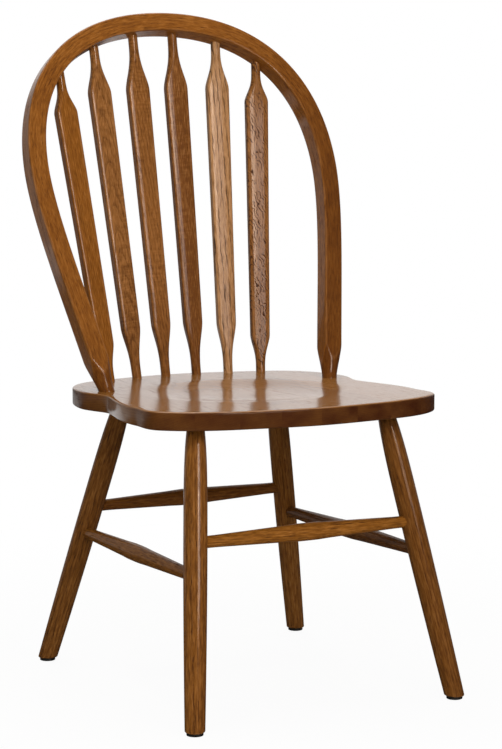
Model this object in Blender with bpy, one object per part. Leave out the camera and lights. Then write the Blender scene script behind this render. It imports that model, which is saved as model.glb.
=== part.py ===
# Arrow back dining chair: a saddled seat on four splayed turned legs, a box of turned stretchers,
# and a bent bow that holds six flat arrow spindles.
# Metres, +Z up, floor at z = 0, the chair faces -Y. Left and right are as seen from the front.
import math

import bmesh
import bpy
from mathutils import Matrix, Vector
from mathutils.geometry import interpolate_bezier

# Clearance left round every joint
GAP = 0.0003

# Seat: height of its flat rim, and the distance from its centre to the edge at nine bearings, which are
# degrees from straight sideways towards the back
SEAT_HEIGHT = 0.445
SEAT_THICKNESS = 0.027
SEAT_BEARINGS = (-90.0, -68.0, -36.0, -24.0, 8.0, 25.0, 45.0, 67.5, 90.0)
SEAT_TO_FRONT = 0.2302
SEAT_TO_FRONT_BEND = 0.2383
SEAT_TO_FRONT_CORNER = 0.2834
SEAT_TO_FRONT_SIDE = 0.2583
SEAT_TO_WAIST = 0.2176
SEAT_TO_REAR_SIDE = 0.2532
SEAT_TO_REAR_CORNER = 0.2755
SEAT_TO_REAR_BEND = 0.2550
SEAT_TO_REAR = 0.2500
SEAT_EDGE = 0.0035
SADDLE_DEPTH = 0.006
SADDLE_HALF_WIDTH = 0.165
SADDLE_HALF_LENGTH = 0.150
THIGH_DIP = 0.0008
THIGH_HALF_WIDTH = 0.185
SOCKET_FLOOR = 0.011

# Legs: axis on the floor and at the underside of the seat
FOOT_FRONT_X = 0.215
FOOT_FRONT_Y = -0.2536
FOOT_BACK_X = 0.2256
FOOT_BACK_Y = 0.2536
LEG_FRONT_TOP_X = 0.158
LEG_FRONT_TOP_Y = -0.144
LEG_BACK_TOP_X = 0.134
LEG_BACK_TOP_Y = 0.1565
LEG_FOOT_RADIUS = 0.0144
LEG_BELLY_RADIUS = 0.0172
LEG_BELLY_HEIGHT = 0.260
LEG_NECK_RADIUS = 0.0132
LEG_NECK_LENGTH = 0.007
LEG_FOOT_TAPER = 1.7
LEG_NECK_TAPER = 4.3
FOOT_ROUND = 0.0018

# Stretchers: heights of their axes on the two legs that hold them, left or front leg first
STRETCHER_FRONT_HEIGHTS = (0.2572, 0.2588)
STRETCHER_BACK_HEIGHTS = (0.2510, 0.2556)
STRETCHER_LEFT_HEIGHTS = (0.2115, 0.2098)
STRETCHER_RIGHT_HEIGHTS = (0.2148, 0.2148)
STRETCHER_END_RADIUS = 0.0088
STRETCHER_MIDDLE_RADIUS = 0.0131
STRETCHER_MIDDLE_LENGTH = 0.034
STRETCHER_STRAIGHT_END = 0.030

# Bow: its centreline in a plane that leans back, as half widths and heights along that plane
BOW_LEAN = math.radians(20.4)
BOW_FOOT_Y = 0.086
BOW_FOOT_HALF_WIDTH = 0.1932
BOW_HALF_WIDTH = 0.2521
BOW_WIDEST_HEIGHT = 0.353
BOW_HEIGHT = 0.5940
BOW_FOOT_FLARE = 0.185
BOW_FOOT_HANDLE = 0.142
BOW_LOWER_HANDLE = 0.082
BOW_UPPER_HANDLE = 0.152
BOW_TOP_HANDLE = 0.160
BOW_FACE = 0.0293
BOW_DEPTH = 0.0318
BOW_TENON_RADIUS = 0.0117
BOW_ROUND_LENGTH = 0.004
BOW_TAPER_LENGTH = 0.050

# Spindles in three pairs, from the middle outwards. The tops of both in a pair stand to the left by the
# drift, and each blade is turned to face the middle
SPINDLE_FOOT_X = (0.0272, 0.081, 0.1335)
SPINDLE_FOOT_Y = (0.226, 0.219, 0.206)
SPINDLE_TOP_X = (0.0352, 0.109, 0.176)
SPINDLE_TOP_DRIFT = (0.0160, 0.0135, 0.0122)
SPINDLE_TURN = (math.radians(2.5), math.radians(6.5), math.radians(10.5))
SPINDLE_LOWER_NECK = (0.005, 0.005, 0.003)
SPINDLE_LOWER_SHOULDER = (0.087, 0.083, 0.061)
SPINDLE_UPPER_NECK = (0.022, 0.022, 0.029)
SPINDLE_UPPER_SHOULDER = (0.102, 0.090, 0.080)
SPINDLE_SETBACK = 0.004
SPINDLE_LOWER_WIDTH = 0.0303
SPINDLE_UPPER_WIDTH = 0.0374
SPINDLE_THICKNESS = 0.0150
SPINDLE_CORNER = 0.0038
SPINDLE_FOOT_RADIUS = 0.0074
SPINDLE_TOP_RADIUS = 0.0074

# Glides and their nails
GLIDE_RADIUS = 0.0120
GLIDE_HEIGHT = 0.0045
GLIDE_EDGE = 0.0010
NAIL_RADIUS = 0.0013
NAIL_LENGTH = 0.019
NAIL_HEAD_RADIUS = 0.0045
NAIL_HEAD_HEIGHT = 0.0012
NAIL_HEAD_COVER = 0.0015

# Facets
SEAT_SIDES = 96
TURNED_SIDES = 20
BORE_SIDES = 20
BOW_STEP = 0.034

# Stained oak in several tones, black plastic and steel: colour, roughness, metallic
OAK_DARK = ((0.118, 0.045, 0.016), 0.32, 0.0)
OAK_MID = ((0.165, 0.068, 0.021), 0.34, 0.0)
OAK_WARM = ((0.235, 0.100, 0.026), 0.34, 0.0)
OAK_LIGHT = ((0.270, 0.128, 0.045), 0.36, 0.0)
PLASTIC = ((0.012, 0.011, 0.010), 0.55, 0.0)
STEEL = ((0.55, 0.55, 0.56), 0.38, 1.0)

UNDERSIDE = SEAT_HEIGHT - SEAT_THICKNESS
SEAT_TENON = SEAT_THICKNESS - SOCKET_FLOOR
ACROSS = Vector((1.0, 0.0, 0.0))
UP = Vector((0.0, 0.0, 1.0))


def clear_scene():
    for item in list(bpy.data.objects):
        bpy.data.objects.remove(item, do_unlink=True)


def ease(t):
    t = min(max(t, 0.0), 1.0)
    return t * t * (3.0 - 2.0 * t)


def blend(a, b, t):
    return a + (b - a) * t


def finish(name, look):
    colour, roughness, metallic = look
    material = bpy.data.materials.new(name + "_finish")
    material.use_nodes = True
    shader = material.node_tree.nodes["Principled BSDF"]
    shader.inputs["Base Color"].default_value = (*colour, 1.0)
    shader.inputs["Roughness"].default_value = roughness
    shader.inputs["Metallic"].default_value = metallic
    return material


# An object from a bmesh, shaded smooth between its sharp edges, carried by the chair's empty
def piece(name, bm, look, carrier):
    bmesh.ops.recalc_face_normals(bm, faces=bm.faces)
    mesh = bpy.data.meshes.new(name)
    bm.to_mesh(mesh)
    bm.free()
    mesh.shade_smooth()
    mesh.set_sharp_from_angle(angle=math.radians(38.0))
    mesh.materials.append(finish(name, look))
    item = bpy.data.objects.new(name, mesh)
    item.parent = carrier
    bpy.context.collection.objects.link(item)
    return item


# Turns local +Z along a direction, with local +X kept as near as it can be to the given side
def upright(direction, side):
    z = direction.normalized()
    y = z.cross(side).normalized()
    x = y.cross(z)
    return Matrix((x, y, z)).transposed()


def place(item, start, direction, side):
    item.location = start
    item.rotation_mode = "QUATERNION"
    item.rotation_quaternion = upright(direction, side).to_quaternion()


# Closed skin over rings of equal point counts, with a flat cap or a single point at each end
def loft(rings):
    bm = bmesh.new()
    loops = [[bm.verts.new(point) for point in ring] for ring in rings]
    for low, high in zip(loops, loops[1:]):
        count = max(len(low), len(high))
        for k in range(count):
            after = k + 1
            quad = [low[k % len(low)], low[after % len(low)], high[after % len(high)], high[k % len(high)]]
            bm.faces.new(list(dict.fromkeys(quad)))
    for loop in (loops[0], loops[-1]):
        if len(loop) > 2:
            bm.faces.new(loop)
    return bm


# A turned solid round local Z from (radius, height) pairs
def turned(profile, sides=TURNED_SIDES):
    bm = bmesh.new()
    ends = [(0.0, profile[0][1]), (0.0, profile[-1][1])]
    points = [ends[0], *profile, ends[1]]
    chain = [bm.verts.new((radius, 0.0, height)) for radius, height in points]
    edges = [bm.edges.new(pair) for pair in zip(chain, chain[1:])]
    bmesh.ops.spin(bm, geom=chain + edges, cent=(0, 0, 0), axis=(0, 0, 1), angle=math.tau, steps=sides,
                   use_merge=True)
    bmesh.ops.remove_doubles(bm, verts=bm.verts, dist=0.00001)
    return bm


# Cuts a wire-drawn guide body out of a piece
def cut(target, bm, start, direction, side):
    guide = piece(target.name + "_cut_" + str(len(target.modifiers) + 1), bm, PLASTIC, target.parent)
    place(guide, start, direction, side)
    guide.hide_render = True
    guide.display_type = "WIRE"
    bore = target.modifiers.new(guide.name, "BOOLEAN")
    bore.operation = "DIFFERENCE"
    bore.solver = "EXACT"
    bore.object = guide


# A round socket between two points for a tenon of the given radius
def socket(target, mouth, floor, radius, side):
    reach = (floor - mouth).length
    outer = (radius + GAP) / math.cos(math.pi / BORE_SIDES)
    cut(target, turned([(outer, 0.0), (outer, reach)], BORE_SIDES), mouth, floor - mouth, side)


# Seat edge seen from above: the radii at the bearings, joined by smooth cubics
def seat_radius(angle):
    radii = (SEAT_TO_FRONT, SEAT_TO_FRONT_BEND, SEAT_TO_FRONT_CORNER, SEAT_TO_FRONT_SIDE, SEAT_TO_WAIST,
             SEAT_TO_REAR_SIDE, SEAT_TO_REAR_CORNER, SEAT_TO_REAR_BEND, SEAT_TO_REAR)
    last = len(radii) - 1
    bearing = math.degrees(math.atan2(math.sin(angle), abs(math.cos(angle))))
    low = max(k for k in range(last) if k == 0 or SEAT_BEARINGS[k] <= bearing)
    span = SEAT_BEARINGS[low + 1] - SEAT_BEARINGS[low]
    t = (bearing - SEAT_BEARINGS[low]) / span

    def rise(k):
        if k in (0, last):
            return 0.0
        return span * (radii[k + 1] - radii[k - 1]) / (SEAT_BEARINGS[k + 1] - SEAT_BEARINGS[k - 1])

    return ((2 * t ** 3 - 3 * t ** 2 + 1) * radii[low] + (t ** 3 - 2 * t ** 2 + t) * rise(low)
            + (3 * t ** 2 - 2 * t ** 3) * radii[low + 1] + (t ** 3 - t ** 2) * rise(low + 1))


# Height of the seat top: a shallow bowl, and a dip that runs out over the front edge
def seat_top(x, y):
    bowl = 1.0 - (x / SADDLE_HALF_WIDTH) ** 2 - (y / SADDLE_HALF_LENGTH) ** 2
    front = ease(-y / SEAT_TO_FRONT) * ease(2.2 * (1.0 - abs(x) / THIGH_HALF_WIDTH))
    return SEAT_HEIGHT - max(SADDLE_DEPTH * ease(bowl), THIGH_DIP * front)


def build_seat(carrier):
    angles = [math.tau * k / SEAT_SIDES - math.pi / 2 for k in range(SEAT_SIDES)]

    def ring(inset, share, height):
        points = []
        for angle in angles:
            reach = (seat_radius(angle) - inset) * share
            x, y = reach * math.cos(angle), reach * math.sin(angle)
            points.append((x, y, height(x, y)))
        return points

    slope = SEAT_EDGE * (1.0 - math.sqrt(0.5))
    rings = [
        ring(SEAT_EDGE, 1.0, lambda x, y: UNDERSIDE),
        ring(slope, 1.0, lambda x, y: UNDERSIDE + slope),
        ring(0.0, 1.0, lambda x, y: UNDERSIDE + SEAT_EDGE),
        ring(0.0, 1.0, lambda x, y: seat_top(x, y) - SEAT_EDGE),
        ring(slope, 1.0, lambda x, y: seat_top(x, y) - slope),
        ring(SEAT_EDGE, 1.0, seat_top),
    ]
    for share in (0.92, 0.80, 0.66, 0.50, 0.32, 0.15):
        rings.append(ring(SEAT_EDGE, share, seat_top))
    rings.append([(0.0, 0.0, seat_top(0.0, 0.0))])
    return piece("seat", loft(rings), OAK_DARK, carrier)


def leg_radius(height, length):
    if height < LEG_BELLY_HEIGHT:
        t = (LEG_BELLY_HEIGHT - height) / LEG_BELLY_HEIGHT
        return blend(LEG_BELLY_RADIUS, LEG_FOOT_RADIUS, t ** LEG_FOOT_TAPER)
    t = (height - LEG_BELLY_HEIGHT) / (length - LEG_NECK_LENGTH - LEG_BELLY_HEIGHT)
    return blend(LEG_BELLY_RADIUS, LEG_NECK_RADIUS, min(t, 1.0) ** LEG_NECK_TAPER)


# Axis of a leg: its point on the floor, its point at the seat's underside, and its direction
def leg_axis(across, along):
    front = along < 0
    foot_x, foot_y = (FOOT_FRONT_X, FOOT_FRONT_Y) if front else (FOOT_BACK_X, FOOT_BACK_Y)
    top_x, top_y = (LEG_FRONT_TOP_X, LEG_FRONT_TOP_Y) if front else (LEG_BACK_TOP_X, LEG_BACK_TOP_Y)
    foot = Vector((across * foot_x, foot_y, 0.0))
    top = Vector((across * top_x, top_y, UNDERSIDE))
    return foot, top, (top - foot).normalized()


# Point of a leg's axis at a height above the floor
def on_leg(axis, height):
    foot, top, _ = axis
    return foot.lerp(top, height / top.z)


# A leg is cut level above its glide, with the edge of the cut rounded, and let into the seat
def build_leg(name, axis, seat, carrier):
    foot, top, along = axis
    length = (top - foot).length
    heights = [length * k / 12 for k in range(12)] + [length - LEG_NECK_LENGTH, length + SEAT_TENON]
    heights[0] = -2.0 * LEG_FOOT_RADIUS
    bm = turned([(leg_radius(max(h, 0.0), length), h) for h in heights])
    level = upright(along, ACROSS).transposed() @ UP
    floor_cut = level * (GLIDE_HEIGHT + GAP)
    cut_edges = bmesh.ops.bisect_plane(bm, geom=bm.verts[:] + bm.edges[:] + bm.faces[:], plane_co=floor_cut,
                                       plane_no=-level, clear_outer=True)["geom_cut"]
    rim = [edge for edge in cut_edges if isinstance(edge, bmesh.types.BMEdge)]
    bmesh.ops.contextual_create(bm, geom=rim)
    bmesh.ops.bevel(bm, geom=rim, offset=FOOT_ROUND, segments=2, profile=0.5, affect="EDGES")
    leg = piece(name, bm, OAK_MID, carrier)
    place(leg, foot, along, ACROSS)
    socket(seat, top - along * SEAT_THICKNESS, top + along * (SEAT_TENON + GAP), LEG_NECK_RADIUS, ACROSS)
    return leg


# A stretcher runs from leg axis to leg axis, with its ends let into both legs
def build_stretcher(name, start, end, legs, look, carrier):
    length = (end - start).length
    along = (end - start).normalized()
    straight = STRETCHER_STRAIGHT_END
    middle = (length - STRETCHER_MIDDLE_LENGTH) / 2
    half = [(STRETCHER_END_RADIUS, 0.0), (STRETCHER_END_RADIUS, straight)]
    for t in (0.45, 0.85):
        radius = blend(STRETCHER_END_RADIUS, STRETCHER_MIDDLE_RADIUS, 0.9 * t)
        half.append((radius, blend(straight, middle, t)))
    half.append((STRETCHER_MIDDLE_RADIUS, middle))
    profile = half + [(radius, length - height) for radius, height in reversed(half)]
    stretcher = piece(name, turned(profile), look, carrier)
    place(stretcher, start, along, UP)
    reach = 2.0 * LEG_BELLY_RADIUS
    socket(legs[0], start + along * reach, start - along * GAP, STRETCHER_END_RADIUS, UP)
    socket(legs[1], end - along * reach, end + along * GAP, STRETCHER_END_RADIUS, UP)
    return stretcher


# A moulded disc round the head of a nail, which stands in the leg
def build_glide(name, nail_name, axis, leg, carrier):
    centre = on_leg(axis, GLIDE_HEIGHT)
    centre.z = 0.0
    edge = GLIDE_EDGE
    disc = [(GLIDE_RADIUS - edge, 0.0), (GLIDE_RADIUS, edge), (GLIDE_RADIUS, GLIDE_HEIGHT - edge),
            (GLIDE_RADIUS - edge, GLIDE_HEIGHT)]
    glide = piece(name, turned(disc), PLASTIC, carrier)
    place(glide, centre, UP, ACROSS)
    low = NAIL_HEAD_COVER
    neck = low + NAIL_HEAD_HEIGHT
    tip = GLIDE_HEIGHT + NAIL_LENGTH

    def nail_shape(grow, end):
        radius = NAIL_RADIUS + grow
        head = NAIL_HEAD_RADIUS + grow
        return turned([(head, low - grow), (head, neck + grow), (radius, neck + grow), (radius, end)], 12)

    bm = turned([(NAIL_HEAD_RADIUS, low), (NAIL_HEAD_RADIUS, neck), (NAIL_RADIUS, neck),
                 (NAIL_RADIUS, tip - 2 * NAIL_RADIUS), (0.3 * NAIL_RADIUS, tip)], 12)
    nail = piece(nail_name, bm, STEEL, carrier)
    place(nail, centre, UP, ACROSS)
    cut(glide, nail_shape(GAP, GLIDE_HEIGHT + NAIL_LENGTH), centre, UP, ACROSS)
    cut(leg, nail_shape(GAP, tip + GAP), centre, UP, ACROSS)
    return [glide, nail]


# A point of the leaning plane, from its half width, its height along the plane and its distance in front
def on_bow_plane(u, v, front=0.0):
    lean, rise = math.sin(BOW_LEAN), math.cos(BOW_LEAN)
    return Vector((u, BOW_FOOT_Y + v * lean - front * rise, SEAT_HEIGHT + v * rise + front * lean))


# Right half of the bow's centreline from the seat to the crown, as (u, v) points of the plane
def bow_half(steps=80):
    foot = Vector((BOW_FOOT_HALF_WIDTH, 0.0))
    side = Vector((BOW_HALF_WIDTH, BOW_WIDEST_HEIGHT))
    crown = Vector((0.0, BOW_HEIGHT))
    lower = interpolate_bezier(foot, foot + Vector((BOW_FOOT_FLARE, 1.0)) * BOW_FOOT_HANDLE,
                               side - Vector((0.0, BOW_LOWER_HANDLE)), side, steps)
    upper = interpolate_bezier(side, side + Vector((0.0, BOW_UPPER_HANDLE)),
                               crown + Vector((BOW_TOP_HANDLE, 0.0)), crown, steps)
    return list(lower) + list(upper)[1:]


# Point and tangent of a polyline at a distance along it, run on straight past its ends
def walk(points, distance):
    for k, (a, b) in enumerate(zip(points, points[1:])):
        step = (b - a).length
        if distance <= step or k == len(points) - 2:
            return a + (b - a) * (distance / step), (b - a).normalized()
        distance -= step


# Height on the bow's centreline above a given half width, on the crown side
def bow_height_at(u):
    half = bow_half()
    crown_side = half[len(half) // 2:]
    for a, b in zip(crown_side, crown_side[1:]):
        if b.x <= u <= a.x:
            return blend(a.y, b.y, (a.x - u) / (a.x - b.x))
    return BOW_HEIGHT


# Squared section with rounded arrises, held inside a circle where the end tapers to its tenon
def bow_section(limit):
    corners = [math.radians(q + a) for q in (0, 90, 180, 270) for a in (0.0, 22.5, 38.0, 45.0, 52.0, 67.5)]
    section = []
    for angle in corners:
        x, y = math.cos(angle) / (BOW_FACE / 2), math.sin(angle) / (BOW_DEPTH / 2)
        reach = min((abs(x) ** 12 + abs(y) ** 12) ** (-1 / 12), limit)
        section.append((reach * math.cos(angle), reach * math.sin(angle)))
    return section


def build_bow(seat, carrier):
    half = bow_half()
    line = half + [Vector((-p.x, p.y)) for p in reversed(half[:-1])]
    total = sum((b - a).length for a, b in zip(line, line[1:]))
    taper_end = BOW_ROUND_LENGTH + BOW_TAPER_LENGTH
    full = math.hypot(BOW_FACE, BOW_DEPTH) / 2
    near = [-SEAT_TENON, BOW_ROUND_LENGTH]
    near += [BOW_ROUND_LENGTH + BOW_TAPER_LENGTH * t for t in (0.2, 0.4, 0.6, 0.8, 1.0)]
    steps = round((total - 2 * taper_end) / BOW_STEP)
    far = [taper_end + (total - 2 * taper_end) * k / steps for k in range(1, steps)]
    stations = near + far + [total - s for s in reversed(near)]
    rings = []
    for s in stations:
        t = (min(s, total - s) - BOW_ROUND_LENGTH) / BOW_TAPER_LENGTH
        limit = blend(BOW_TENON_RADIUS, full, min(max(t, 0.0), 1.0) ** 1.25)
        centre, along = walk(line, s)
        out = Vector((along.y, -along.x))
        rings.append([on_bow_plane(*(centre + out * a), b) for a, b in bow_section(limit)])
    bow = piece("bow", loft(rings), OAK_WARM, carrier)
    for s, sign in ((0.0, 1.0), (total, -1.0)):
        centre, along = walk(line, s)
        into = on_bow_plane(*(centre - along * sign)) - on_bow_plane(*centre)
        top = on_bow_plane(*centre)
        socket(seat, top - into * BOW_TAPER_LENGTH, top + into * (SEAT_TENON + GAP), BOW_TENON_RADIUS, ACROSS)
    return bow


# Rounded oblong section of sixteen points, which is a circle where all three sizes are equal
def oblong(half_width, half_depth, corner, height):
    points = []
    for quarter in range(4):
        sign_x = 1 if quarter in (0, 3) else -1
        sign_y = 1 if quarter < 2 else -1
        for step in range(4):
            angle = (quarter + (step + 0.5) / 4) * math.pi / 2
            points.append((sign_x * (half_width - corner) + corner * math.cos(angle),
                           sign_y * (half_depth - corner) + corner * math.sin(angle), height))
    return points


# A spindle stands in the seat and ends on the bow's centreline, a little behind the bow's middle
def build_spindle(name, pair, sign, look, seat, bow, carrier):
    foot = Vector((sign * SPINDLE_FOOT_X[pair], SPINDLE_FOOT_Y[pair], SEAT_HEIGHT))
    top_u = sign * SPINDLE_TOP_X[pair] - SPINDLE_TOP_DRIFT[pair]
    top = on_bow_plane(top_u, bow_height_at(abs(top_u)), -SPINDLE_SETBACK)
    across = Vector((math.cos(SPINDLE_TURN[pair]), -sign * math.sin(SPINDLE_TURN[pair]), 0.0))
    length = (top - foot).length
    along = (top - foot).normalized()
    low_neck, low_shoulder = SPINDLE_LOWER_NECK[pair], SPINDLE_LOWER_SHOULDER[pair]
    high_neck, high_shoulder = length - SPINDLE_UPPER_NECK[pair], length - SPINDLE_UPPER_SHOULDER[pair]
    rings = []

    def ring(height, width, flare, radius):
        rings.append(oblong(blend(radius, width / 2, flare), blend(radius, SPINDLE_THICKNESS / 2, flare),
                            blend(radius, SPINDLE_CORNER, flare), height))

    steps = (0.0, 0.3, 0.5, 0.65, 0.8, 0.9, 1.0)
    ring(-SEAT_TENON, 0.0, 0.0, SPINDLE_FOOT_RADIUS)
    for t in steps:
        ring(blend(low_neck, low_shoulder, t), SPINDLE_LOWER_WIDTH, ease(t ** 1.6), SPINDLE_FOOT_RADIUS)
    for t in (0.33, 0.67):
        width = blend(SPINDLE_LOWER_WIDTH, SPINDLE_UPPER_WIDTH, t)
        ring(blend(low_shoulder, high_shoulder, t), width, 1.0, 0.0)
    for t in reversed(steps):
        ring(blend(high_neck, high_shoulder, t), SPINDLE_UPPER_WIDTH, ease(t ** 1.6), SPINDLE_TOP_RADIUS)
    ring(length, 0.0, 0.0, SPINDLE_TOP_RADIUS)
    spindle = piece(name, loft(rings), look, carrier)
    place(spindle, foot, along, across)
    socket(seat, foot + along * SEAT_TENON, foot - along * (SEAT_TENON + GAP), SPINDLE_FOOT_RADIUS, ACROSS)
    socket(bow, top - along * SPINDLE_UPPER_NECK[pair], top + along * GAP, SPINDLE_TOP_RADIUS, ACROSS)
    return spindle


# Slides the chair so that the middle of its outline lies over the origin
def centre_on_origin(carrier, pieces):
    bpy.context.view_layer.update()
    graph = bpy.context.evaluated_depsgraph_get()
    depths = []
    for item in pieces:
        shape = item.evaluated_get(graph)
        depths += [(shape.matrix_world @ vertex.co).y for vertex in shape.data.vertices]
    carrier.location.y = -(min(depths) + max(depths)) / 2


def build_chair():
    clear_scene()
    carrier = bpy.data.objects.new("chair", None)
    bpy.context.collection.objects.link(carrier)
    seat = build_seat(carrier)
    bow = build_bow(seat, carrier)
    pieces = [seat, bow]
    corners = {"front_left": (-1, -1), "front_right": (1, -1), "back_left": (-1, 1), "back_right": (1, 1)}
    axes = {corner: leg_axis(*signs) for corner, signs in corners.items()}
    legs = {corner: build_leg("leg_" + corner, axis, seat, carrier) for corner, axis in axes.items()}
    runs = {
        "front": ("front_left", "front_right", STRETCHER_FRONT_HEIGHTS, OAK_WARM),
        "back": ("back_left", "back_right", STRETCHER_BACK_HEIGHTS, OAK_DARK),
        "left": ("front_left", "back_left", STRETCHER_LEFT_HEIGHTS, OAK_MID),
        "right": ("front_right", "back_right", STRETCHER_RIGHT_HEIGHTS, OAK_DARK),
    }
    for side, (first, last, heights, look) in runs.items():
        start, end = on_leg(axes[first], heights[0]), on_leg(axes[last], heights[1])
        held_by = (legs[first], legs[last])
        pieces.append(build_stretcher("stretcher_" + side, start, end, held_by, look, carrier))
    for corner, leg in legs.items():
        pieces += [leg] + build_glide("glide_" + corner, "glide_nail_" + corner, axes[corner], leg, carrier)
    tones = (OAK_WARM, OAK_MID, OAK_MID, OAK_MID, OAK_LIGHT, OAK_LIGHT)
    order = ((2, -1), (1, -1), (0, -1), (0, 1), (1, 1), (2, 1))
    for number, (pair, sign) in enumerate(order, 1):
        name = "spindle_" + str(number)
        pieces.append(build_spindle(name, pair, sign, tones[number - 1], seat, bow, carrier))
    centre_on_origin(carrier, pieces)


build_chair()
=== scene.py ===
import math
import bpy
import numpy as np
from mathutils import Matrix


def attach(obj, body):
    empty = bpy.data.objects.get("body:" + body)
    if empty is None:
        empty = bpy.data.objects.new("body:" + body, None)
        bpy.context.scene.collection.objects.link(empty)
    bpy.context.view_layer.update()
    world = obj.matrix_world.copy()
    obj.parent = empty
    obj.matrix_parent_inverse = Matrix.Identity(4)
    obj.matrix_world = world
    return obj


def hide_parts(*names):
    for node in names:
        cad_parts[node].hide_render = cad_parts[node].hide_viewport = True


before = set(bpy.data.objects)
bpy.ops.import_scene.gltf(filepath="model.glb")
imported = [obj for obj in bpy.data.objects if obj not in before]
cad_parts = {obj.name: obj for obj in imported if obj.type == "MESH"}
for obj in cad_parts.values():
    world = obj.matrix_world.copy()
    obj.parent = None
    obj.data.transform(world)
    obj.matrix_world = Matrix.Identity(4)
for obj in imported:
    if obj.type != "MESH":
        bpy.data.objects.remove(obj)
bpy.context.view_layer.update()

stance = {"slideY": -0.0224319, "gap": 0.0003}      # slides the chair's middle over the origin; glue line
axisX, axisZ = np.array([1.0, 0.0, 0.0]), np.array([0.0, 0.0, 1.0])
fullTurn, quarterTurn = 2.0 * math.pi, math.pi / 2
print("frame loaded:", len(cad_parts), "solids")


# smooth step: three t squared less two t cubed, held between 0 and 1
def ease(t):
    t = np.clip(t, 0.0, 1.0)
    return t * t * (3.0 - 2.0 * t)


# straight mix: a plus t parts of the way to b
def between(a, b, t):
    return a + (b - a) * t


# even angles once round, the last one short of the first
def roundAngles(count):
    return np.linspace(0.0, fullTurn, count, endpoint=False)


class Flow:      # one socket of a shader tree: sums and products of flows become Math nodes
    def __init__(self, tree, socket):
        self.tree = tree
        self.socket = socket

    # any node: its settings first, then values or flows for its inputs, then one output as a flow
    def node(self, kind, settings=None, inputs=None, out=0):
        made = self.tree.nodes.new(kind)
        for key, value in (settings or {}).items():
            if key == "stops":
                for spare in range(len(value) - len(made.color_ramp.elements)):
                    made.color_ramp.elements.new(1.0)
                for element, (spot, colour) in zip(made.color_ramp.elements, value):
                    element.position = spot
                    element.color = (*colour, 1.0)
            else:
                setattr(made, key, value)
        for key, value in (inputs or {}).items():
            if isinstance(value, Flow):
                self.tree.links.new(value.socket, made.inputs[key])
            else:
                made.inputs[key].default_value = value
        return Flow(self.tree, made.outputs[out])

    def maths(self, operation, *others):
        return self.node("ShaderNodeMath", {"operation": operation}, dict(enumerate((self, *others))))

    def flipped(self, operation, first):
        return self.node("ShaderNodeMath", {"operation": operation}, {0: first, 1: self})

    def __add__(self, other): return self.maths("ADD", other)
    def __sub__(self, other): return self.maths("SUBTRACT", other)
    def __mul__(self, other): return self.maths("MULTIPLY", other)
    def __truediv__(self, other): return self.maths("DIVIDE", other)
    def __pow__(self, other): return self.maths("POWER", other)
    def __radd__(self, other): return self.flipped("ADD", other)
    def __rsub__(self, other): return self.flipped("SUBTRACT", other)
    def __rmul__(self, other): return self.flipped("MULTIPLY", other)

    # the largest of this value and some others
    def most(self, *others):
        largest = self
        for other in others:
            largest = largest.maths("MAXIMUM", other)
        return largest

    # a vector's three parts
    def axes(self):
        parts = self.node("ShaderNodeSeparateXYZ", None, {0: self})
        return [Flow(self.tree, socket) for socket in parts.socket.node.outputs]

    # 0 below low, 1 above high, smooth between; high below low turns it round
    def step(self, low, high):
        span = {"From Min": low, "From Max": high, "To Min": 0.0, "To Max": 1.0}
        return self.node("ShaderNodeMapRange", {"interpolation_type": "SMOOTHSTEP"}, {"Value": self, **span})

    # a colour ramp over this value
    def ramp(self, *stops):
        return self.node("ShaderNodeValToRGB", {"stops": stops}, {"Fac": self})

    # this colour, with a share of another colour laid over it
    def tint(self, share, other):
        mix = {"Factor": share, 6: self, 7: (*other, 1.0)}
        return self.node("ShaderNodeMix", {"data_type": "RGBA"}, mix, out=2)

    # noise stretched by a scale for each axis, about 0.5
    def speck(self, scales, detail=2.0, roughness=0.5):
        wide = self.node("ShaderNodeVectorMath", {"operation": "MULTIPLY"}, {0: self, 1: scales})
        return self.node("ShaderNodeTexNoise", None,
                         {"Vector": wide, "Scale": 1.0, "Detail": detail, "Roughness": roughness})

    # noise drawn out along the third axis: one scale across it and one along it
    def drawn(self, scales, detail=2.0, roughness=0.5):
        wide, long = scales
        return self.speck((wide, wide, long), detail, roughness)

    # a bump of this height, as a normal
    def bump(self, strength, distance):
        return self.node("ShaderNodeBump", None, {"Strength": strength, "Distance": distance, "Height": self})


# a new material: its Principled shader, and a flow to build from
def newFinish(name, constants):
    material = bpy.data.materials.new(name)
    material.use_nodes = True
    shader = material.node_tree.nodes["Principled BSDF"]
    for key, value in constants.items():
        shader.inputs[key].default_value = value
    return material, shader, Flow(material.node_tree, None)


# links flows to the shader's sockets and hands the material on
def feed(material, shader, flows):
    for key, flow in flows.items():
        material.node_tree.links.new(flow.socket, shader.inputs[key])
    return material


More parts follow.
